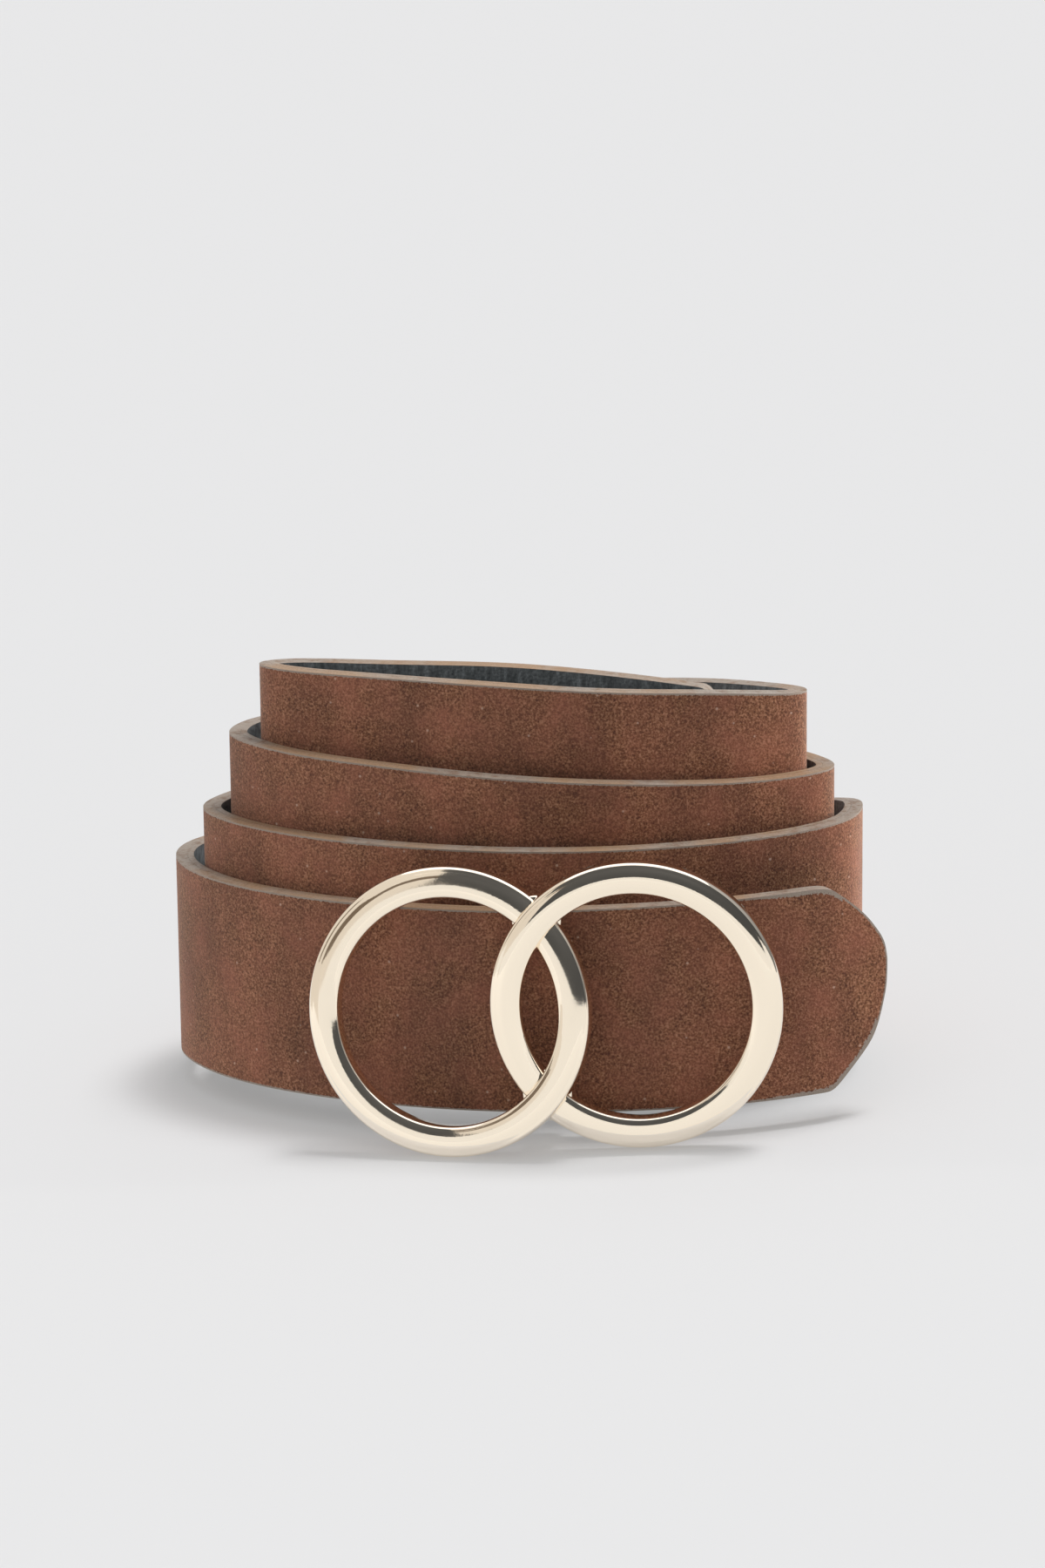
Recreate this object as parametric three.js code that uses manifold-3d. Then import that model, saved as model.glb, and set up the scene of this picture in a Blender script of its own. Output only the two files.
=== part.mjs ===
// A double ring belt. A suede strap with a dark lining stands on its edge, coiled in a flat oval whose
// turns climb towards the middle. A buckle of two overlapping cast rings lies on the front of the outermost
// turn and holds it by a flat loop that passes over, behind and under the strap.
// Units are millimetres, Z is up, the front faces -Y and the floor is Z = 0.
import * as THREE from "three";
import { mergeVertices } from "three/addons/utils/BufferGeometryUtils.js";
import Module from "manifold-3d";

const wasm = await Module();
wasm.setup();

// The strap is a suede wall and a lining, bonded in life and kept a thin gap apart here.
const strapWidth = 35;
const faceThickness = 1.7;
const liningThickness = 1.1;
const bondGap = 0.3;
const edgeChamfer = 0.4;

// The coil. Its reach is half its length, from the middle to where the bends begin.
const coilReach = 60;
const turnGap = 0.5;
const coilLeanBack = 4;
const coilLeanRight = 3.3;

// The buckle. The rings lean back and face a little to the left or right, in degrees.
const ringDiameter = 49;
const ringBand = 5.2;
const ringDepth = 3.3;
const ringBevel = 0.6;
const ringSpacing = 32;
const buckleAcross = 2.7;
const leftRingLean = 13.4;
const leftRingTurn = -8.9;
const rightRingLean = 5.5;
const rightRingTurn = 1.2;
const rightRingLift = 0.4;
const rightRingForward = 1.6;
const ringClearance = 0.35;

// The loop that the rings are cast in one with.
const loopWidth = 4.6;
const loopThickness = 1.4;
const loopClearance = 0.4;
const loopUpperHook = 4;
const loopLowerHook = 7;

// How finely the curves are cut into flat faces.
const traceStep = 1;
const smoothingPasses = 10;
const longestStep = 6.5;
const sharpestTurn = 13;
const ringSegments = 72;

const strapThickness = faceThickness + bondGap + liningThickness;

// Names each number of a row after its column.
const named = (columns, rows) =>
  rows.map((row) => Object.fromEntries(columns.map((name, i) => [name, row[i]])));

// The strap's way through the coil, from its free tip inwards, on its outer face.
// across and behind are shares of coilReach, measured on the coil's outermost outline.
// rise is the bottom edge's height as a share of strapWidth, and lean tips the strap further back, in degrees.
// layers is how many turns lie outside, and facing is the way out from under them, in degrees from +X.
const route = named(["across", "behind", "rise", "lean", "layers", "facing"], [
  [0.965, 0.1, 0.15, 5, 0, 285],
  [0.765, 0.005, 0.15, 4.5, 0, 285],
  [0.535, -0.055, 0.15, 3.5, 0, 275],
  [0.265, -0.08, 0.15, 2, 0, 270],
  [-0.065, -0.065, 0.15, 0, 0, 265],
  [-0.4, 0.005, 0.15, 0, 0, 250],
  [-0.75, 0.15, 0.145, 0, 0, 240],
  [-0.99, 0.31, 0.145, 0, 0, 225],
  [-1.12, 0.49, 0.145, 0, 0, 190],
  [-1.125, 0.7, 0.115, 0, 0, 170],
  [-0.965, 0.915, 0.065, 0, 0, 125],
  [-0.6, 1.025, 0.015, 0, 0, 95],
  [-0.065, 1.05, 0, 0, 0, 90],
  [0.435, 0.96, 0.045, 0, 0, 75],
  [0.75, 0.725, 0.215, 0, 0, 45],
  [0.9, 0.535, 0.305, 0, 0.5, 15],
  [0.905, 0.325, 0.315, 0, 1, 325],
  [0.73, 0.17, 0.325, 0, 1, 300],
  [0.345, 0.035, 0.345, 0, 1, 280],
  [-0.065, -0.01, 0.375, 0, 1, 270],
  [-0.45, 0.04, 0.4, 0, 1, 255],
  [-0.795, 0.19, 0.4, 0, 1, 240],
  [-1.03, 0.36, 0.405, 0, 1, 220],
  [-1.105, 0.515, 0.405, 0, 1, 180],
  [-1.01, 0.68, 0.41, 0, 1, 150],
  [-0.68, 0.85, 0.44, 0, 1, 105],
  [-0.1, 0.91, 0.48, 0, 1, 90],
  [0.415, 0.84, 0.51, 0, 1, 75],
  [0.75, 0.685, 0.52, 0, 1.5, 50],
  [0.92, 0.47, 0.53, 0, 2, 10],
  [0.855, 0.285, 0.545, 0, 2, 320],
  [0.625, 0.145, 0.565, 0, 2, 290],
  [0.245, 0.025, 0.635, 0, 2, 275],
  [-0.145, 0.01, 0.695, 0, 2, 265],
  [-0.525, 0.09, 0.74, 0, 2, 250],
  [-0.83, 0.21, 0.765, 0, 2, 240],
  [-1.01, 0.355, 0.775, 0, 2, 215],
  [-1.085, 0.51, 0.775, 0, 2, 180],
  [-1.01, 0.68, 0.785, 0, 2, 140],
  [-0.59, 0.83, 0.81, 0, 2, 100],
  [-0.035, 0.86, 0.845, 0, 2, 90],
  [0.45, 0.785, 0.87, 0, 2, 65],
  [0.7, 0.7, 0.88, 0, 2.5, 50],
  [0.87, 0.57, 0.895, 0, 3, 20],
  [0.895, 0.385, 0.905, 0, 3, 340],
  [0.785, 0.235, 0.925, 0, 3, 305],
  [0.56, 0.125, 0.985, 0, 3, 290],
  [0.18, 0.03, 1.055, 0, 3, 275],
  [-0.23, 0.055, 1.105, 0, 3, 260],
  [-0.595, 0.145, 1.125, 0, 3, 250],
  [-0.865, 0.24, 1.13, 0, 3, 240],
  [-1.01, 0.365, 1.13, 0, 3, 210],
  [-1.025, 0.61, 1.115, 0, 3, 150],
  [-0.83, 0.745, 1.1, 0, 3, 105],
  [-0.48, 0.74, 1.075, 0, 3, 90],
  [-0.12, 0.7, 1.06, 0, 3, 85],
  [0.23, 0.645, 1.015, 0, 3, 80],
  [0.5, 0.605, 0.955, 0, 3, 85],
]);

// The free tip's outline: how far back from the nose, and what is cut off above and below, all as
// shares of strapWidth.
const tip = named(["back", "above", "below"], [
  [0, 0.4, 0.485],
  [0.01, 0.33, 0.425],
  [0.03, 0.285, 0.335],
  [0.06, 0.24, 0.24],
  [0.11, 0.17, 0.17],
  [0.19, 0.095, 0.085],
  [0.27, 0.03, 0],
  [0.31, 0, 0],
]);

const rad = THREE.MathUtils.degToRad;

// The bottom and top of the strap's outer face at one row of the route.
function crossing(row) {
  const facing = rad(row.facing);
  const inset = row.layers * (strapThickness + turnGap);
  const height = row.rise * strapWidth;
  const bottom = new THREE.Vector3(
    row.across * coilReach - Math.cos(facing) * inset + height * Math.tan(rad(coilLeanRight)),
    row.behind * coilReach - Math.sin(facing) * inset + height * Math.tan(rad(coilLeanBack)),
    height,
  );
  const up = new THREE.Vector3(
    Math.tan(rad(coilLeanRight)),
    Math.tan(rad(coilLeanBack + row.lean)),
    1,
  ).normalize();
  return { bottom, top: bottom.clone().addScaledVector(up, strapWidth) };
}

// Moves each point to the mean of itself and its neighbours, so that bends turn evenly between the rows.
function smooth(points) {
  let current = points;
  for (let pass = 0; pass < smoothingPasses; pass++) {
    current = current.map((point, i) => {
      if (i === 0 || i === current.length - 1) return point;
      return point.clone().multiplyScalar(2).add(current[i - 1]).add(current[i + 1]).divideScalar(4);
    });
  }
  return current;
}

// The whole strap as places a step apart: each has its bottom, its way up and its way inwards.
function traceStrap() {
  const rows = route.map(crossing);
  const lower = new THREE.CatmullRomCurve3(rows.map((row) => row.bottom));
  const upper = new THREE.CatmullRomCurve3(rows.map((row) => row.top));
  lower.arcLengthDivisions = route.length * 40;
  const count = Math.round(lower.getLength() / traceStep);
  const shares = Array.from({ length: count + 1 }, (_, i) => lower.getUtoTmapping(i / count));
  const bottoms = smooth(shares.map((t) => lower.getPoint(t)));
  const tops = smooth(shares.map((t) => upper.getPoint(t)));
  let along = 0;
  return bottoms.map((bottom, i) => {
    const before = bottoms[Math.max(i - 1, 0)];
    const after = bottoms[Math.min(i + 1, count)];
    const forward = after.clone().sub(before).normalize();
    const up = tops[i].clone().sub(bottom).normalize();
    const inward = forward.clone().cross(up).normalize();
    if (i > 0) along += bottom.distanceTo(before);
    return { along, bottom, up, inward, forward };
  });
}

const trace = traceStrap();

// The place at a length along the strap, between two places of the trace.
function placeAt(along) {
  const i = Math.max(1, trace.findIndex((place) => place.along >= along));
  const [a, b] = [trace[i - 1], trace[i]];
  const share = (along - a.along) / (b.along - a.along);
  const mix = (key) => a[key].clone().lerp(b[key], share);
  return {
    along,
    bottom: mix("bottom"),
    up: mix("up").normalize(),
    inward: mix("inward").normalize(),
    forward: mix("forward").normalize(),
  };
}

// The sections that the walls are lofted through, closer together where the strap bends.
function chooseSections() {
  const sections = tip.map((row) => ({
    ...placeAt(row.back * strapWidth),
    low: row.below * strapWidth,
    high: (1 - row.above) * strapWidth,
  }));
  trace.forEach((place, i) => {
    const last = sections[sections.length - 1];
    const far = place.along - last.along > longestStep;
    const turned = place.along > last.along && place.forward.angleTo(last.forward) > rad(sharpestTurn);
    if (far || turned || i === trace.length - 1) sections.push({ ...place, low: 0, high: strapWidth });
  });
  return sections;
}

// A closed wall through the sections. The profile gives its corners as depth under the outer face and height.
function loftWall(sections, profile) {
  const corners = sections.map((section) =>
    profile(section.low, section.high).map(([depth, height]) =>
      section.bottom.clone().addScaledVector(section.inward, depth).addScaledVector(section.up, height),
    ),
  );
  const sides = corners[0].length;
  const index = [];
  for (let i = 0; i + 1 < corners.length; i++) {
    for (let j = 0; j < sides; j++) {
      const next = (j + 1) % sides;
      const [a, b] = [i * sides + j, i * sides + next];
      index.push(a, a + sides, b, b, a + sides, b + sides);
    }
  }
  const end = (corners.length - 1) * sides;
  for (let j = 1; j + 1 < sides; j++) {
    index.push(0, j, j + 1);
    index.push(end, end + j + 1, end + j);
  }
  return new THREE.BufferGeometry().setFromPoints(corners.flat()).setIndex(index);
}

// The suede wall, with both edges of its outer face eased.
const faceProfile = (low, high) => [
  [0, low + edgeChamfer],
  [edgeChamfer, low],
  [faceThickness, low],
  [faceThickness, high],
  [edgeChamfer, high],
  [0, high - edgeChamfer],
];

// The lining behind it, with both edges of its inner face eased.
const liningProfile = (low, high) => [
  [strapThickness - liningThickness, low],
  [strapThickness - edgeChamfer, low],
  [strapThickness, low + edgeChamfer],
  [strapThickness, high - edgeChamfer],
  [strapThickness - edgeChamfer, high],
  [strapThickness - liningThickness, high],
];

// One corner list serves the ring's shape and its height over the floor: radius, and depth from the front.
const ringProfile = [
  [ringDiameter / 2, ringBevel],
  [ringDiameter / 2, ringDepth - ringBevel / 2],
  [ringDiameter / 2 - ringBevel / 2, ringDepth],
  [ringDiameter / 2 - ringBand + ringBevel / 2, ringDepth],
  [ringDiameter / 2 - ringBand, ringDepth - ringBevel / 2],
  [ringDiameter / 2 - ringBand, ringBevel],
  [ringDiameter / 2 - ringBand + ringBevel, ringBevel / 3],
  [ringDiameter / 2 - ringBand / 2, 0],
  [ringDiameter / 2 - ringBevel, ringBevel / 3],
];

// A ring that faces -Y, leant back and turned, with its lowest point on Z = 0.
function standingRing(lean, turn) {
  const profile = [...ringProfile, ringProfile[0]].map((corner) => new THREE.Vector2(...corner));
  const ring = new THREE.LatheGeometry(profile, ringSegments);
  ring.rotateX(-rad(lean)).rotateZ(rad(turn));
  ring.computeBoundingBox();
  return ring.translate(0, 0, -ring.boundingBox.min.z);
}

// How far back the front turn's outer face lies at a place seen from the front, or nothing off the strap.
function strapFront(x, z) {
  const spot = (place) => {
    const height = (z - place.bottom.z) / place.up.z;
    if (height < 0 || height > strapWidth) return null;
    return place.bottom.clone().addScaledVector(place.up, height);
  };
  for (let i = 1; trace[i].along < 2 * coilReach; i++) {
    const [a, b] = [spot(trace[i - 1]), spot(trace[i])];
    if (a && b && a.x >= x && b.x < x) return THREE.MathUtils.mapLinear(x, a.x, b.x, a.y, b.y);
  }
  return null;
}

// Where the ring has to stand so that its nearest point clears the strap by the named clearance.
function behindToClear(ring, across) {
  const corners = ring.getAttribute("position");
  let behind = Infinity;
  for (let i = 0; i < corners.count; i++) {
    const front = strapFront(corners.getX(i) + across, corners.getZ(i));
    if (front !== null) behind = Math.min(behind, front - ringClearance - corners.getY(i));
  }
  return behind;
}

// The loop round the strap, in the strap's own section: depth under its outer face, and height.
// Its hooks reach forward into the rings where these cross, the upper one and the lower one.
function loopOutline(upperReach, lowerReach) {
  const back = strapThickness + loopClearance;
  const over = strapWidth + loopClearance;
  const under = -loopClearance;
  const corners = [
    [-upperReach, strapWidth - loopUpperHook],
    [-upperReach, over + loopThickness],
    [back + loopThickness, over + loopThickness],
    [back + loopThickness, under - loopThickness],
    [-lowerReach, under - loopThickness],
    [-lowerReach, loopLowerHook],
    [loopThickness - lowerReach, loopLowerHook],
    [loopThickness - lowerReach, under],
    [back, under],
    [back, over],
    [loopThickness - upperReach, over],
    [loopThickness - upperReach, strapWidth - loopUpperHook],
  ];
  return new THREE.Shape(corners.map((corner) => new THREE.Vector2(...corner)));
}

// The loop in place, square to the strap at the middle of the buckle.
function strapLoop(upperReach, lowerReach) {
  const place = trace.find((candidate) => candidate.bottom.x <= buckleAcross);
  const side = place.inward.clone().cross(place.up);
  const loop = new THREE.ExtrudeGeometry(loopOutline(upperReach, lowerReach), {
    depth: loopWidth,
    bevelEnabled: false,
  });
  const frame = new THREE.Matrix4().makeBasis(place.inward, place.up, side).setPosition(place.bottom);
  return loop.translate(0, 0, -loopWidth / 2).applyMatrix4(frame);
}

// A closed geometry as a solid that can be joined to others.
function toSolid(geometry) {
  const bare = geometry.clone();
  bare.deleteAttribute("normal");
  bare.deleteAttribute("uv");
  const merged = mergeVertices(bare);
  return new wasm.Manifold(
    new wasm.Mesh({
      numProp: 3,
      vertProperties: merged.getAttribute("position").array,
      triVerts: new Uint32Array(merged.index.array),
    }),
  );
}

// A solid back as a geometry.
function toGeometry(solid) {
  const mesh = solid.getMesh();
  const positions = new THREE.BufferAttribute(new Float32Array(mesh.vertProperties), 3);
  return new THREE.BufferGeometry()
    .setAttribute("position", positions)
    .setIndex(new THREE.BufferAttribute(new Uint32Array(mesh.triVerts), 1));
}

// Both rings and the loop, cast in one. The left ring stands against the strap and the right one before it.
function castBuckle() {
  const leftAcross = buckleAcross - ringSpacing / 2;
  const rightAcross = buckleAcross + ringSpacing / 2;
  const left = standingRing(leftRingLean, leftRingTurn);
  const right = standingRing(rightRingLean, rightRingTurn);
  const leftBehind = behindToClear(left, leftAcross);
  left.translate(leftAcross, leftBehind, 0);
  right.translate(rightAcross, leftBehind - rightRingForward, rightRingLift);
  const upperReach = ringClearance + ringDepth / 2 + loopThickness / 2;
  const lowerReach = upperReach + rightRingForward;
  const solid = toSolid(left).add(toSolid(right)).add(toSolid(strapLoop(upperReach, lowerReach)));
  return toGeometry(solid);
}

const suede = new THREE.MeshStandardMaterial({ color: 0x6a4734, roughness: 0.95, metalness: 0 });
const lining = new THREE.MeshStandardMaterial({ color: 0x35393a, roughness: 0.9, metalness: 0 });
const paleGold = new THREE.MeshStandardMaterial({ color: 0xe9dcc4, roughness: 0.18, metalness: 1 });

// A named piece of the belt.
function piece(name, geometry, material) {
  const mesh = new THREE.Mesh(geometry, material);
  mesh.name = name;
  return mesh;
}

const sections = chooseSections();
const belt = new THREE.Group();
belt.add(piece("strap_face", loftWall(sections, faceProfile), suede));
belt.add(piece("strap_lining", loftWall(sections, liningProfile), lining));
belt.add(piece("double_ring_buckle", castBuckle(), paleGold));

// The origin is on the floor under the middle of the belt.
const bounds = new THREE.Box3().setFromObject(belt);
const middle = bounds.getCenter(new THREE.Vector3());
belt.position.set(-middle.x, -middle.y, -bounds.min.z);

export default belt;
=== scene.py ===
# Double ring belt: a suede strap coiled on its edge, with two pale gold rings on its front.
# Units are metres, Z is up and the front faces -Y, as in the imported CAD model.
import math

import bpy
from mathutils import Matrix, Vector
from mathutils.kdtree import KDTree


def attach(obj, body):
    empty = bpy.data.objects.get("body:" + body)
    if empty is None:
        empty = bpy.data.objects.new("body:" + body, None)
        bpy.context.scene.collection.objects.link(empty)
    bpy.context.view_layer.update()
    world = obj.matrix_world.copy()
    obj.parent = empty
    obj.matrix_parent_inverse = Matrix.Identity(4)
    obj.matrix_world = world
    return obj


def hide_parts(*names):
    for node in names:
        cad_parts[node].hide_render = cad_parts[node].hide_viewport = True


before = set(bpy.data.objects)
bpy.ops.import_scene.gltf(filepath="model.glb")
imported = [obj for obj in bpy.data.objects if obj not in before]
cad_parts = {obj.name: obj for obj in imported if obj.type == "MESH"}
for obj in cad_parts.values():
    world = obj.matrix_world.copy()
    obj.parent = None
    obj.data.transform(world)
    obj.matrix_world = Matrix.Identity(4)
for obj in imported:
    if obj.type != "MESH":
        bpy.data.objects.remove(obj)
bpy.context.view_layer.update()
mm = 0.001
hair = 0.01 * mm   # points closer together than this count as one
print("frame loaded:", ", ".join(sorted(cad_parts)))


def linearColour(code):  # sRGB hex to the linear colour that shaders mix in
    channels = [int(code[i:i + 2], 16) / 255 for i in (1, 3, 5)]
    linear = [c / 12.92 if c <= 0.04045 else ((c + 0.055) / 1.055) ** 2.4 for c in channels]
    return (*linear, 1.0)


def startAlone():  # object mode with nothing selected
    if bpy.context.object and bpy.context.object.mode != "OBJECT":
        bpy.ops.object.mode_set(mode="OBJECT")
    bpy.ops.object.select_all(action="DESELECT")


def makeActive(thing):
    startAlone()
    thing.select_set(True)
    bpy.context.view_layer.objects.active = thing


def selectPoints(thing, wanted):  # edit mode with only the wanted vertices selected
    bpy.ops.object.mode_set(mode="EDIT")
    bpy.ops.mesh.select_mode(type="VERT")
    bpy.ops.mesh.select_all(action="DESELECT")
    bpy.ops.object.mode_set(mode="OBJECT")
    for point in thing.data.vertices:
        point.select = wanted(point.co)
    bpy.ops.object.mode_set(mode="EDIT")


def finishModifier(thing, kind, **settings):  # adds a modifier and applies it at once
    modifier = thing.modifiers.new(kind.title(), kind)
    for key, value in settings.items():
        setattr(modifier, key, value)
    bpy.ops.object.modifier_apply(modifier=modifier.name)


def roundCorners(thing, width, steps, sharperThan):  # degrees
    limit = math.radians(sharperThan)
    finishModifier(
        thing, "BEVEL", width=width, segments=steps, limit_method="ANGLE", angle_limit=limit,
    )


def addObject(name, data):
    made = bpy.data.objects.new(name, data)
    bpy.context.scene.collection.objects.link(made)
    return made


def addNode(tree, kind, settings=None, links=None):  # settings are sockets or else properties
    node = tree.nodes.new(kind)
    for key, value in (settings or {}).items():
        if isinstance(key, int) or key in node.inputs:
            node.inputs[key].default_value = value
        else:
            setattr(node, key, value)
    for key, source in (links or {}).items():
        tree.links.new(source, node.inputs[key])
    return node


def newMaterial(name, surface=None):  # a material with only its shader, set as given, and output
    material = bpy.data.materials.new(name)
    material.use_nodes = True
    tree = material.node_tree
    tree.nodes.clear()
    shader = addNode(tree, "ShaderNodeBsdfPrincipled", surface)
    addNode(tree, "ShaderNodeOutputMaterial", {}, {"Surface": shader.outputs["BSDF"]})
    return material, tree, shader


def addPlace(tree):  # where a point lies on its own object
    return addNode(tree, "ShaderNodeTexCoord").outputs["Object"]


def addNoise(tree, place, width, detail, roughness=0.5):  # patches of about the given width
    settings = {"Scale": 1 / width, "Detail": detail, "Roughness": roughness}
    return addNode(tree, "ShaderNodeTexNoise", settings, {"Vector": place}).outputs["Fac"]


def addCells(tree, place, width, randomness=1.0):  # how far a point lies from its cell's middle
    settings = {"Scale": 1 / width, "Randomness": randomness}
    return addNode(tree, "ShaderNodeTexVoronoi", settings, {"Vector": place}).outputs["Distance"]


def addRange(tree, value, seen, wanted):  # stretches the seen range onto the wanted one
    settings = {"From Min": seen[0], "From Max": seen[1], "To Min": wanted[0], "To Max": wanted[1]}
    return addNode(tree, "ShaderNodeMapRange", settings, {"Value": value}).outputs["Result"]


def addRamp(tree, value, stops, colours):
    ramp = addNode(tree, "ShaderNodeValToRGB", {}, {"Fac": value})
    elements = ramp.color_ramp.elements
    elements.remove(elements[1])
    elements[0].position = stops[0]
    for stop in stops[1:]:
        elements.new(stop)
    for element, colour in zip(elements, colours):
        element.color = linearColour(colour)
    return ramp.outputs["Color"]


def addCoat(tree, below, colour, share):  # lays a colour over what is below
    settings = {"data_type": "RGBA", 7: linearColour(colour)}
    return addNode(tree, "ShaderNodeMix", settings, {0: share, 6: below}).outputs[2]


def addSum(tree, first, second):
    return addNode(tree, "ShaderNodeMath", {"operation": "ADD"}, {0: first, 1: second}).outputs[0]


def addStretch(tree, place, shares):  # drawn out along an axis whose share is under 1
    settings = {"operation": "MULTIPLY", 1: shares}
    return addNode(tree, "ShaderNodeVectorMath", settings, {0: place}).outputs[0]


def addBump(tree, height, distance, strength, **settings):
    settings = {"Strength": strength, "Distance": distance, **settings}
    return addNode(tree, "ShaderNodeBump", settings, {"Height": height})


cameraSettings = {
    "place": (130.0 * mm, -866.67 * mm, 338.02 * mm),
    "azimuth": 8.4,      # degrees to the right of the front
    "elevation": 18.0,   # degrees above the floor
    "roll": 4.6,         # degrees clockwise, so the belt leans up to the right
    "lens": 124.2,       # for the sensor's long side
    "sensor": 36,
    "clipping": (0.05, 50),
}


def makeCamera(settings):
    azimuth, elevation, roll = (math.radians(settings[k]) for k in ("azimuth", "elevation", "roll"))
    level = Vector((-math.sin(azimuth), math.cos(azimuth), 0))
    ahead = level * math.cos(elevation) - Vector((0, 0, math.sin(elevation)))
    right = Vector((math.cos(azimuth), math.sin(azimuth), 0))
    up = right.cross(ahead)
    turnedRight = right * math.cos(roll) - up * math.sin(roll)
    turnedUp = right * math.sin(roll) + up * math.cos(roll)
    data = bpy.data.cameras.new("studioCamera")
    data.lens, data.sensor_width, data.sensor_fit = settings["lens"], settings["sensor"], "AUTO"
    data.clip_start, data.clip_end = settings["clipping"]
    camera = addObject("studioCamera", data)
    turned = Matrix((turnedRight, turnedUp, -ahead)).transposed().to_4x4()
    camera.matrix_world = Matrix.Translation(settings["place"]) @ turned
    bpy.context.scene.camera = camera


makeCamera(cameraSettings)
print("camera placed")


edgePaintLook = {
    "thin": "#755F4E",
    "middle": "#91857A",
    "toneStops": (0.32, 0.52),     # where the two tones lie in the ripple's noise
    "tan": "#94765A",              # where the leather shows through a thin coat
    "tanShare": 0.8,
    "ripple": 1.6 * mm,
    "stretch": 21 * mm,            # how far a thin coat runs along the edge
    "pit": 0.45 * mm,
    "bump": 0.07 * mm,
    "bumpStrength": 0.6,
    "roughness": (0.30, 0.50),     # in the pits and between them
}


def makeEdgePaint(look):
    # Acrylic edge paint, rolled onto the cut leather in one coat:
    # a soft eggshell skin with thin places and small pits.
    material, tree, shader = newMaterial("rolledEdgePaint")
    place = addPlace(tree)
    ripple = addNoise(tree, place, look["ripple"], detail=3, roughness=0.6)
    coat = addRamp(tree, ripple, look["toneStops"], [look["thin"], look["middle"]])
    runs = addNoise(tree, place, look["stretch"], detail=3)
    bare = addRange(tree, runs, seen=(0.44, 0.58), wanted=(0.0, look["tanShare"]))
    tree.links.new(addCoat(tree, coat, look["tan"], bare), shader.inputs["Base Color"])
    pits = addNoise(tree, place, look["pit"], detail=2)
    bump = addBump(tree, addSum(tree, ripple, pits), look["bump"], look["bumpStrength"])
    tree.links.new(bump.outputs["Normal"], shader.inputs["Normal"])
    gloss = addRange(tree, pits, seen=(0.35, 0.65), wanted=look["roughness"])
    tree.links.new(gloss, shader.inputs["Roughness"])
    return material


suedeLook = {
    "dark": "#4C2A1F",
    "middle": "#7C4D37",
    "light": "#A8755A",
    "toneStops": (0.34, 0.50, 0.68),   # where the three tones lie in the nap's noise
    "napGrain": 0.38 * mm,      # a tuft's width, drawn coarser than the real 0.1 mm so that it shows
    "fibresPerTuft": 2.2,
    "worn": "#945E46",
    "wornShare": 0.4,
    "mottle": 7 * mm,           # width of the patches where the nap lies one way
    "hue": (0.507, 0.497),      # across the patches, where 0.5 leaves the colour as it is
    "saturation": 0.98,
    "cloud": 13 * mm,           # width of the broad clouds of painted light and shade
    "paintedShadeStretch": (1, 1, 0.4),    # draws the painted light and shade out upright, in the bands that a slightly wavy strap would catch
    "shade": (0.74, 1.26),      # darkest and lightest of the painted light and shade
    "fleck": "#D8BBA6",
    "fleckShare": 0.45,
    "fleckSpacing": 3.6 * mm,
    "fleckReach": (0.04, 0.08),    # share of the spacing where a fleck ends
    "paintSmear": 0.30 * mm,    # how far the edge paint creeps onto the face
    "bump": 0.12 * mm,
    "bumpStrength": 0.8,
    "surface": {
        "Roughness": 0.95,
        "Specular IOR Level": 0.25,
        "Sheen Weight": 0.48,   # light fibre ends
        "Sheen Roughness": 0.42,
        "Sheen Tint": linearColour("#E3D3C6"),
    },
}


def makeSuede(look):
    # Sueded split leather, its flesh side sanded to a short nap:
    # matt, speckled, and paler where the nap is seen edge on.
    material, tree, shader = newMaterial("suededSplitLeather", look["surface"])
    place = addPlace(tree)
    nap = addNoise(tree, place, look["napGrain"], detail=3, roughness=0.65)
    grain = addRamp(tree, nap, look["toneStops"], [look["dark"], look["middle"], look["light"]])
    mottle = addNoise(tree, place, look["mottle"], detail=3, roughness=0.55)
    patches = addRange(tree, mottle, seen=(0.42, 0.68), wanted=(0.0, look["wornShare"]))
    brushed = addCoat(tree, grain, look["worn"], patches)
    # painted light and shade: broad upright clouds darken and brighten the colour, in place of the
    # light and shade on a slightly wavy strap
    upright = addStretch(tree, place, look["paintedShadeStretch"])
    paintedLightAndShade = addNoise(tree, upright, look["cloud"], detail=4, roughness=0.6)
    clouded = addNode(tree, "ShaderNodeHueSaturation", {"Saturation": look["saturation"]}, {
        "Hue": addRange(tree, mottle, seen=(0.3, 0.7), wanted=look["hue"]),
        "Value": addRange(tree, paintedLightAndShade, seen=(0.32, 0.68), wanted=look["shade"]),
        "Color": brushed,
    })
    cells = addCells(tree, place, look["fleckSpacing"])
    isFleck = addRange(tree, cells, seen=look["fleckReach"], wanted=(look["fleckShare"], 0.0))
    flecked = addCoat(tree, clouded.outputs["Color"], look["fleck"], isFleck)

    fromRim = addNode(tree, "ShaderNodeAttribute", {"attribute_name": "fromRim"}).outputs["Fac"]
    wholeSmear = {"operation": "MULTIPLY", 1: 2 * look["paintSmear"]}   # the nap's noise is about 0.5
    ragged = addNode(tree, "ShaderNodeMath", wholeSmear, {0: nap}).outputs[0]
    painted = addNode(tree, "ShaderNodeMath", {"operation": "LESS_THAN"}, {0: fromRim, 1: ragged})
    smeared = addCoat(tree, flecked, edgePaintLook["middle"], painted.outputs[0])
    tree.links.new(smeared, shader.inputs["Base Color"])

    fibres = addNoise(tree, place, look["napGrain"] / look["fibresPerTuft"], detail=2)
    bump = addBump(tree, addSum(tree, nap, fibres), look["bump"], look["bumpStrength"])
    tree.links.new(bump.outputs["Normal"], shader.inputs["Normal"])
    return material


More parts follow.
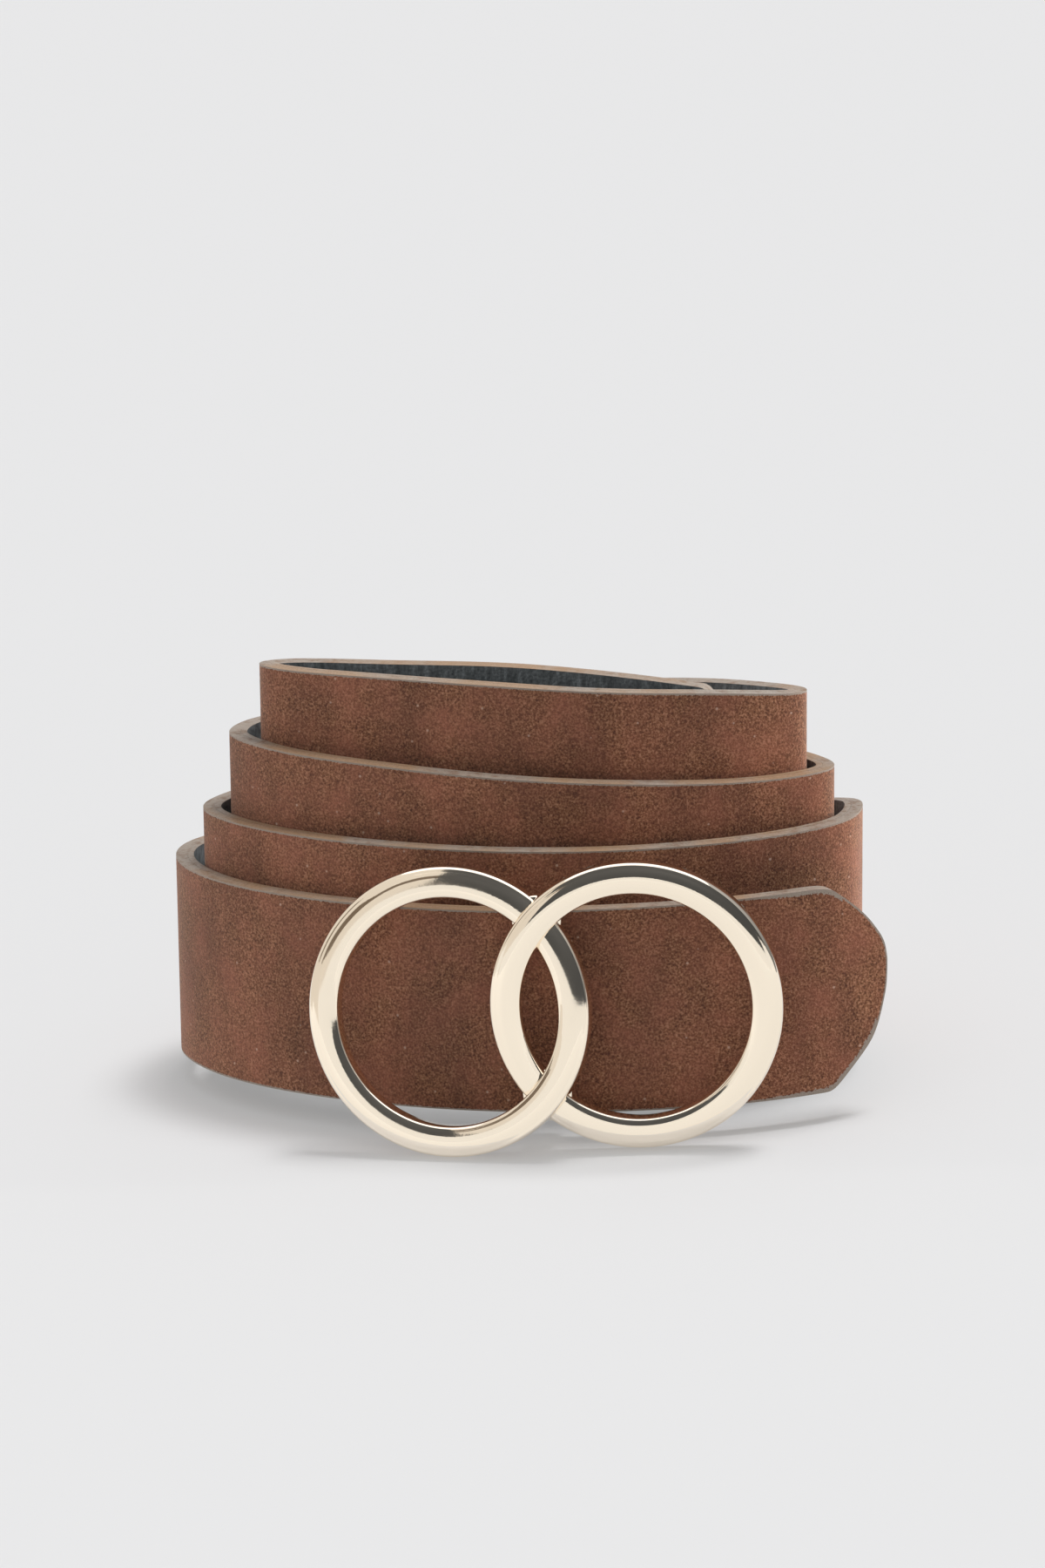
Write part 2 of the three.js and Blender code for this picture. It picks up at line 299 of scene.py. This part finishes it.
liningLook = {
    "dark": "#43484A",
    "middle": "#5C6163",
    "light": "#82878A",
    "toneStops": (0.35, 0.52, 0.75),
    "pebble": 0.55 * mm,
    "unevenness": 0.9,         # of the pebbles
    "cloud": 0.88 * mm,
    "drawn": (1, 1, 0.3),      # draws the clouds out upright
    "bump": 0.10 * mm,
    "bumpStrength": 0.8,
    "surface": {"Roughness": 0.58},
}


def makeLining(look):
    # Black bonded leather lining, pressed with a fine pebble grain and worn to upright pale streaks.
    material, tree, shader = newMaterial("bondedLeatherLining", look["surface"])
    place = addPlace(tree)
    drawn = addStretch(tree, place, look["drawn"])
    cloud = addNoise(tree, drawn, look["cloud"], detail=4, roughness=0.7)
    tone = addRamp(tree, cloud, look["toneStops"], [look["dark"], look["middle"], look["light"]])
    tree.links.new(tone, shader.inputs["Base Color"])
    pebbles = addCells(tree, place, look["pebble"], look["unevenness"])
    bump = addBump(tree, pebbles, look["bump"], look["bumpStrength"], invert=True)
    tree.links.new(bump.outputs["Normal"], shader.inputs["Normal"])
    return material


goldLook = {
    "waves": 5.0 * mm,             # width of the polishing wheel's slow waves
    "waveHeight": 0.012 * mm,
    "ripples": 0.8 * mm,           # width of the plating's orange peel
    "rippleHeight": 0.0035 * mm,
    "roughness": (0.05, 0.09),     # on and between faint smudges
    "surface": {"Base Color": linearColour("#FEF3E3"), "Metallic": 1.0},
}


def makeGold(look):
    # Pale gold plating on a polished zinc casting:
    # a near mirror, whose slow waves make the edges of reflections ragged.
    material, tree, shader = newMaterial("polishedPaleGoldPlating", look["surface"])
    place = addPlace(tree)
    waves = addNoise(tree, place, look["waves"], detail=1)
    ripples = addNoise(tree, place, look["ripples"], detail=2, roughness=0.6)
    wavy = addBump(tree, waves, look["waveHeight"], strength=1.0)
    rippled = addBump(tree, ripples, look["rippleHeight"], strength=1.0)
    tree.links.new(wavy.outputs["Normal"], rippled.inputs["Normal"])
    tree.links.new(rippled.outputs["Normal"], shader.inputs["Normal"])
    smudges = addRange(tree, waves, seen=(0.4, 0.7), wanted=look["roughness"])
    tree.links.new(smudges, shader.inputs["Roughness"])
    return material


suede = makeSuede(suedeLook)
edgePaint = makeEdgePaint(edgePaintLook)
lining = makeLining(liningLook)
gold = makeGold(goldLook)
print("materials made")


# The strap is a suede wall and a lining, both grown from the one sheet where they are bonded.
strapSettings = {
    "faceThickness": 1.98 * mm,   # suede and its backing, from the bond outwards
    "faceStart": 0.02 * mm,       # hair gap at the bond
    "liningThickness": 1.1 * mm,
    "levels": 3,                  # smoothing of the coil's curve
    "bendLimit": 35,              # degrees between neighbours on one side of the strap
    "faceRounding": 0.4 * mm,     # eased corners of the painted edge
    "liningRounding": 0.35 * mm,
    "roundingSteps": 3,
    "smoothing": 40,              # degrees
    "cutSize": (35 * mm, 976 * mm),
    # the tip's edge paint is rubbed wider, which comes on over the blend from the start rightwards
    "rubbedTip": {
        "start": 40 * mm,
        "blend": 10 * mm,
        "front": -19 * mm,
        "top": 40.5 * mm,
        "width": 2.4,
    },
}
edgeSlot, sideSlot = 1, 2   # material slots of the painted edge and of the side that is grown


def bondSheet(name):  # the lining's outer side as one ribbon of quads
    sheet = addObject(name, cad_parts["strap_lining"].data.copy())
    sheet.data.materials.clear()
    makeActive(sheet)
    bpy.ops.object.mode_set(mode="EDIT")
    bpy.ops.mesh.select_all(action="SELECT")
    bpy.ops.mesh.remove_doubles(threshold=hair)
    bpy.ops.mesh.select_mode(type="FACE")
    bpy.ops.mesh.select_all(action="DESELECT")
    bpy.ops.object.mode_set(mode="OBJECT")
    facingFront = [face for face in sheet.data.polygons if face.normal.y < -0.9]
    foremost = min(facingFront, key=lambda face: face.center.y)
    foremost.select = True
    sheet.data.polygons.active = foremost.index
    bpy.ops.object.mode_set(mode="EDIT")
    bendLimit = math.radians(strapSettings["bendLimit"])
    bpy.ops.mesh.faces_select_linked_flat(sharpness=bendLimit)
    bpy.ops.mesh.select_all(action="INVERT")
    bpy.ops.mesh.delete(type="FACE")
    bpy.ops.mesh.select_all(action="SELECT")
    bpy.ops.mesh.tris_convert_to_quads()
    bpy.ops.object.mode_set(mode="OBJECT")
    return sheet


def thicken(sheet, thickness, offset, rounding, sideMaterial):
    # A smooth wall of the given thickness, with a painted and eased edge.
    for material in (sideMaterial, edgePaint, sideMaterial):
        sheet.data.materials.append(material)
    makeActive(sheet)
    levels = strapSettings["levels"]
    finishModifier(sheet, "SUBSURF", levels=levels, boundary_smooth="PRESERVE_CORNERS")
    finishModifier(
        sheet, "SOLIDIFY", thickness=thickness, offset=offset,
        use_even_offset=True, use_quality_normals=True,
        material_offset=sideSlot, material_offset_rim=edgeSlot,
    )
    slotsAt = {}
    for face in sheet.data.polygons:
        for edge in face.edge_keys:
            slotsAt.setdefault(edge, set()).add(face.material_index)
    bpy.ops.object.mode_set(mode="EDIT")
    bpy.ops.mesh.select_mode(type="EDGE")
    bpy.ops.mesh.select_all(action="DESELECT")
    bpy.ops.object.mode_set(mode="OBJECT")
    for edge in sheet.data.edges:
        edge.select = slotsAt[edge.key] == {edgeSlot, sideSlot}
    bpy.ops.object.mode_set(mode="EDIT")
    bpy.ops.mesh.bevel(
        offset=rounding, segments=strapSettings["roundingSteps"],
        affect="EDGES", material=edgeSlot, clamp_overlap=True,
    )
    bpy.ops.object.mode_set(mode="OBJECT")
    bpy.ops.object.shade_smooth_by_angle(angle=math.radians(strapSettings["smoothing"]))


def markRim(sheet):
    # How far each point lies from the painted edge. The tip is handled most and counts as nearer.
    painted = [face for face in sheet.data.polygons if face.material_index == edgeSlot]
    rim = {corner for face in painted for corner in face.vertices}
    tree = KDTree(len(rim))
    for corner in rim:
        tree.insert(sheet.data.vertices[corner].co, corner)
    tree.balance()
    rubbed = strapSettings["rubbedTip"]
    fromRim = sheet.data.attributes.new("fromRim", "FLOAT", "POINT")
    for point in sheet.data.vertices:
        distance = tree.find(point.co)[2]
        onTip = point.co.y < rubbed["front"] and point.co.z < rubbed["top"]
        share = min(max((point.co.x - rubbed["start"]) / rubbed["blend"], 0), 1) * onTip
        fromRim.data[point.index].value = distance / (1 + (rubbed["width"] - 1) * share)


def dress(piece, slotName, *nodes):
    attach(piece, "root")
    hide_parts(*nodes)


strapFace = bondSheet("strapFace")
strapLining = bondSheet("strapLining")
notQuads = sum(len(face.vertices) != 4 for face in strapFace.data.polygons)
print("bond sheet:", len(strapFace.data.polygons), "faces,", notQuads, "not quads")
faceThickness, faceRounding = strapSettings["faceThickness"], strapSettings["faceRounding"]
faceOffset = 1 + 2 * strapSettings["faceStart"] / faceThickness   # outwards, past the hair gap
thicken(strapFace, faceThickness, faceOffset, faceRounding, suede)
liningThickness, liningRounding = strapSettings["liningThickness"], strapSettings["liningRounding"]
thicken(strapLining, liningThickness, -1, liningRounding, lining)   # inwards
markRim(strapFace)
dress(strapFace, "suede", "strap_face")
dress(strapLining, "lining", "strap_lining")
print("strap made:", len(strapFace.data.polygons), "and", len(strapLining.data.polygons), "faces")


# The buckle is two overlapping rings and the flat loop that holds them on the strap, cast in one.
ringSettings = {
    "diameter": 49 * mm,
    "band": 5.2 * mm,
    "depth": 3.3 * mm,
    "draft": 0.1 * mm,        # how much narrower the front is than the back, on the outside
    "frontBevel": 0.7 * mm,
    "frontBevelSteps": 4,
    "backBevel": 0.3 * mm,
    "backBevelSteps": 2,
    "faceCuts": 19,
    "steps": 216,
    "smoothing": 38,          # degrees, for the loop and the webs too
    # the face's slope in degrees at shares of its width, from the hole outwards
    "slopes": [(0, -20), (0.13, -10.5), (0.22, -3), (0.5, 1.5), (0.67, 9.5), (0.85, 18), (1, 26)],
    "left": {"place": (-9.038 * mm, -32.941 * mm, 24.548 * mm), "lean": 13.4, "turn": -8.9},
    "right": {"place": (22.962 * mm, -34.541 * mm, 25.095 * mm), "lean": 5.5, "turn": 1.2},
}


def faceDrops(slopes, width, count):
    # How far the ring's face falls behind its highest line, at even places across it.
    fall, drops = 0, []
    for i in range(count + 1):
        share = i / count
        ends = next(pair for pair in zip(slopes, slopes[1:]) if share <= pair[1][0])
        (startShare, startSlope), (endShare, endSlope) = ends
        way = (share - startShare) / (endShare - startShare)
        slope = startSlope + (endSlope - startSlope) * way
        fall += math.tan(math.radians(slope)) * width / count * (i > 0)
        drops.append(fall)
    return [drop - min(drops) for drop in drops]


def makeRing(name, settings, stand):
    band, depth, bevel = settings["band"], settings["depth"], settings["frontBevel"]
    inner = settings["diameter"] / 2 - band - settings["draft"]
    startAlone()
    bpy.ops.mesh.primitive_plane_add(size=1)   # the section: X is its radius, Y its depth
    ring = bpy.context.object
    ring.name = name
    bpy.ops.object.mode_set(mode="EDIT")
    bpy.ops.transform.resize(value=(band, depth, 1))
    bpy.ops.transform.translate(value=(inner + band / 2, depth / 2, 0))
    bpy.ops.mesh.delete(type="ONLY_FACE")
    selectPoints(ring, lambda co: co.y > depth / 2 and co.x > inner + band / 2)
    bpy.ops.transform.translate(value=(settings["draft"], 0, 0))
    selectPoints(ring, lambda co: co.y < depth / 2)
    bpy.ops.mesh.bevel(offset=bevel, segments=settings["frontBevelSteps"], affect="VERTICES")
    selectPoints(ring, lambda co: co.y > depth - hair)
    backBevel, backSteps = settings["backBevel"], settings["backBevelSteps"]
    bpy.ops.mesh.bevel(offset=backBevel, segments=backSteps, affect="VERTICES")
    selectPoints(ring, lambda co: co.y < hair)
    bpy.ops.mesh.subdivide(number_cuts=settings["faceCuts"])
    bpy.ops.object.mode_set(mode="OBJECT")
    faceWidth = band - 2 * bevel
    drops = faceDrops(settings["slopes"], faceWidth, settings["faceCuts"] + 1)
    for point in ring.data.vertices:
        if point.co.y < depth / 2:
            share = min(max((point.co.x - inner - bevel) / faceWidth, 0), 1)
            point.co.y += drops[round(share * (len(drops) - 1))]
    bpy.ops.object.mode_set(mode="EDIT")
    bpy.ops.mesh.select_all(action="SELECT")
    bpy.ops.mesh.spin(steps=settings["steps"], angle=math.tau, center=(0, 0, 0), axis=(0, 1, 0))
    bpy.ops.mesh.select_all(action="SELECT")
    bpy.ops.mesh.remove_doubles(threshold=hair / 2)
    bpy.ops.mesh.normals_make_consistent(inside=False)
    bpy.ops.object.mode_set(mode="OBJECT")
    bpy.ops.object.shade_smooth_by_angle(angle=math.radians(settings["smoothing"]))
    ring.rotation_euler = (-math.radians(stand["lean"]), 0, math.radians(stand["turn"]))
    ring.location = stand["place"]
    bpy.ops.object.transform_apply(location=True, rotation=True, scale=True)
    return ring


loopSettings = {
    "width": 4.6 * mm,
    "thickness": 1.1 * mm,
    "bend": 1.0 * mm,
    "edge": 0.3 * mm,
    # the middle of its thickness in mm, as depth under the strap's face and height up the strap
    "route": [
        (-2.0, 31), (-2.0, 35.9), (4.0, 35.9), (4.0, -0.75), (-0.9, -0.75), (-2.9, 1.2), (-3.3, 7),
    ],
    "foot": (6.353 * mm, -30.405 * mm, 5.270 * mm),   # the strap's lower outer edge at the buckle
    "inward": (0.07498, 0.99383, -0.08168),
    "upward": (0.05743, 0.07747, 0.99534),
}


def makeLoop(name, settings):
    route = [Vector((depth * mm, height * mm, 0)) for depth, height in settings["route"]]
    startAlone()
    bpy.ops.mesh.primitive_plane_add(size=settings["width"], rotation=(0, math.pi / 2, 0))
    loop = bpy.context.object
    loop.name = name
    bpy.ops.object.transform_apply(location=True, rotation=True, scale=True)
    selectPoints(loop, lambda co: co.y < 0)
    bpy.ops.mesh.delete(type="VERT")
    bpy.ops.mesh.select_all(action="SELECT")
    bpy.ops.transform.translate(value=route[0] - Vector((0, settings["width"] / 2, 0)))
    for here, there in zip(route, route[1:]):
        bpy.ops.mesh.extrude_region_move(TRANSFORM_OT_translate={"value": there - here})
    bpy.ops.mesh.select_all(action="SELECT")
    bpy.ops.mesh.normals_make_consistent(inside=False)
    bpy.ops.object.mode_set(mode="OBJECT")
    roundCorners(loop, settings["bend"], steps=5, sharperThan=40)
    thickness = settings["thickness"]
    finishModifier(loop, "SOLIDIFY", thickness=thickness, offset=0, use_even_offset=True)
    roundCorners(loop, settings["edge"], steps=3, sharperThan=50)
    bpy.ops.object.shade_smooth_by_angle(angle=math.radians(ringSettings["smoothing"]))
    inward, upward = Vector(settings["inward"]), Vector(settings["upward"])
    turned = Matrix((inward, upward, inward.cross(upward))).transposed().to_4x4()
    loop.matrix_world = Matrix.Translation(settings["foot"]) @ turned
    bpy.ops.object.transform_apply(location=True, rotation=True, scale=True)
    return loop


webSettings = {
    "radius": 4.2 * mm,
    "depth": 1.6 * mm,
    "rounding": 0.5 * mm,
    "sides": 48,
    "places": [(6.96 * mm, -29.7 * mm, 39.4 * mm), (7.2 * mm, -34.5 * mm, 10.4 * mm)],
    "lean": 9.0,
}


def makeWeb(name, settings, place):
    # The cast web behind a crossing, which shows as a fillet in its corners.
    startAlone()
    bpy.ops.mesh.primitive_cylinder_add(
        vertices=settings["sides"], radius=settings["radius"], depth=settings["depth"],
        rotation=(math.radians(90 - settings["lean"]), 0, 0), location=place,
    )
    web = bpy.context.object
    web.name = name
    bpy.ops.object.transform_apply(location=True, rotation=True, scale=True)
    roundCorners(web, settings["rounding"], steps=4, sharperThan=50)
    bpy.ops.object.shade_smooth_by_angle(angle=math.radians(ringSettings["smoothing"]))
    return web


leftRing = makeRing("leftRing", ringSettings, ringSettings["left"])
rightRing = makeRing("rightRing", ringSettings, ringSettings["right"])
loop = makeLoop("strapLoop", loopSettings)
webs = [makeWeb("crossingWeb", webSettings, place) for place in webSettings["places"]]
startAlone()
for part in (leftRing, rightRing, loop, *webs):
    part.select_set(True)
bpy.context.view_layer.objects.active = leftRing
bpy.ops.object.join()
doubleRingBuckle = leftRing
doubleRingBuckle.name = "doubleRingBuckle"
doubleRingBuckle.data.materials.append(gold)
dress(doubleRingBuckle, "pale_gold", "double_ring_buckle")
print("buckle made:", len(doubleRingBuckle.data.polygons), "faces")


# The studio is a pale floor with a faint painted glow, soft light overhead, and cards that are seen
# by reflections only.
studioSettings = {
    "floorSize": 12,
    "floorSurface": {
        "Base Color": linearColour("#C2C2C3"),
        "Roughness": 0.9,
        "Specular IOR Level": 0.1,
        "Emission Color": (1, 1, 1, 1),
        "Emission Strength": 0.265,   # a painted glow, with no lamp below, which keeps the shadows pale
    },
    "skyLow": 0.15,           # at the horizon
    "skyHigh": 0.60,          # overhead
    "sunStrength": 1.80,      # of the whole row
    "sunRow": [0.20, 0.34],   # two suns, a little to the right, stand in for one long softbox
    "sunBack": 0.21,
    "sunSoftness": 16,        # degrees
    # place, width, height and watts of each softbox
    "softboxes": {
        "sideSoftbox": ((1.25, 0.34, 0.5), 1.2, 0.8, 25),
        "leftSoftbox": ((-1.6, -0.12, 0.8), 0.9, 0.9, 14),
    },
    "aim": (0.0, 0.0, 0.03),
    # colour, brightness and corners of each card
    "cards": {
        "lowFrontCard": ("#FFFDF8", 0.85, [
            (-4.5, -2.5, 0.0), (4.5, -2.5, 0.0), (4.5, -2.5, 0.40), (-4.5, -2.5, 0.40),
        ]),
        "leftFrontCard": ("#FFF7EB", 0.73, [
            (-5.2, -2.6, 0.4), (0.0, -2.6, 0.4), (0.0, -2.6, 6.0), (-5.2, -2.6, 6.0),
        ]),
        "leftSideCard": ("#FFF7EB", 0.73, [
            (-3.0, -3.5, 0.0), (-3.0, -3.5, 6.0), (-3.0, 2.5, 6.0), (-3.0, 2.5, 0.0),
        ]),
        "ceilingCard": ("#FFFFFF", 1.35, [
            (-2.2, -1.7, 3.0), (2.2, -1.7, 3.0), (2.2, 2.8, 3.0), (-2.2, 2.8, 3.0),
        ]),
        "darkRoom": ("#F6FBFF", 0.05, [
            (-1.25, -2.5, 0.4), (3.45, -2.5, 0.4), (3.45, -2.5, 5.1), (-2.1, -2.5, 5.1),
        ]),
        "dimShelf": ("#FFE2C4", 0.16, [
            (-1.4, -2.55, 1.75), (-2.0, -2.55, 1.65), (-2.5, -2.55, 1.3), (-3.0, -2.55, 1.0),
            (-3.0, -2.55, 2.1), (-2.3, -2.55, 2.45), (-1.4, -2.55, 2.55),
        ]),
        "dimShelfEnd": ("#FFE2C4", 0.16, [
            (-2.98, -2.6, 0.95), (-2.98, -1.3, 0.62), (-2.98, -1.3, 1.0), (-2.98, -1.75, 1.9),
            (-2.98, -2.6, 2.15),
        ]),
        # painted reflection: a bright card just above the floor in front, seen only by reflections,
        # so the rings' lower faces reflect floor without the belt's shadow
        "paintedFloorReflectionCard": ("#FFFDF8", 0.85, [
            (-3.0, -2.5, 0.0005), (3.0, -2.5, 0.0005), (3.0, -0.045, 0.0005),
            (-3.0, -0.045, 0.0005),
        ]),
    },
}


def makeFloor(settings):
    startAlone()
    bpy.ops.mesh.primitive_plane_add(size=settings["floorSize"])
    floor = bpy.context.object
    floor.name = "studioFloor"
    floor.data.materials.append(newMaterial("mattFloorPaperPaintedGlow", settings["floorSurface"])[0])


def addLight(name, kind, source):  # shines from the side that the source vector points to
    light = addObject(name, bpy.data.lights.new(name, kind))
    light.rotation_mode = "QUATERNION"
    light.rotation_quaternion = source.to_track_quat("Z", "Y")
    return light


def makeLights(settings):
    for side in settings["sunRow"]:
        sun = addLight("overheadLight", "SUN", Vector((side, settings["sunBack"], 1.0)))
        sun.data.energy = settings["sunStrength"] / len(settings["sunRow"])
        sun.data.angle = math.radians(settings["sunSoftness"])
    beltOnly = bpy.data.collections.new("litFromTheSide")   # keeps the table's tone even
    for piece in (strapFace, strapLining, doubleRingBuckle):
        beltOnly.objects.link(piece)
    for name, (place, width, height, watts) in settings["softboxes"].items():
        softbox = addLight(name, "AREA", Vector(place) - Vector(settings["aim"]))
        softbox.location = place
        softbox.data.shape = "RECTANGLE"
        softbox.data.size, softbox.data.size_y, softbox.data.energy = width, height, watts
        softbox.visible_glossy = False   # or it flares in the edge paint, seen from the far side
        softbox.light_linking.receiver_collection = beltOnly


def makeCard(name, colour, brightness, corners):
    sheet = bpy.data.meshes.new(name)
    sheet.from_pydata(corners, [], [range(len(corners))])
    card = addObject(name, sheet)
    glow = {
        "Base Color": (0, 0, 0, 1),
        "Emission Color": linearColour(colour),
        "Emission Strength": brightness,
    }
    card.data.materials.append(newMaterial(name, glow)[0])
    card.visible_camera = card.visible_diffuse = card.visible_shadow = False


def makeSky(settings):
    world = bpy.data.worlds.new("studioWorld")
    world.use_nodes = True
    tree = world.node_tree
    direction = addNode(tree, "ShaderNodeTexCoord").outputs["Generated"]
    height = addNode(tree, "ShaderNodeSeparateXYZ", {}, {"Vector": direction}).outputs["Z"]
    sky = addRange(tree, height, seen=(0, 1), wanted=(settings["skyLow"], settings["skyHigh"]))
    background = tree.nodes["Background"]
    background.inputs["Color"].default_value = (1, 1, 1, 1)
    tree.links.new(sky, background.inputs["Strength"])
    bpy.context.scene.world = world
    bpy.context.scene.view_settings.view_transform = "Standard"


makeFloor(studioSettings)
makeLights(studioSettings)
for name, card in studioSettings["cards"].items():
    makeCard(name, *card)
makeSky(studioSettings)
startAlone()
print("studio set")
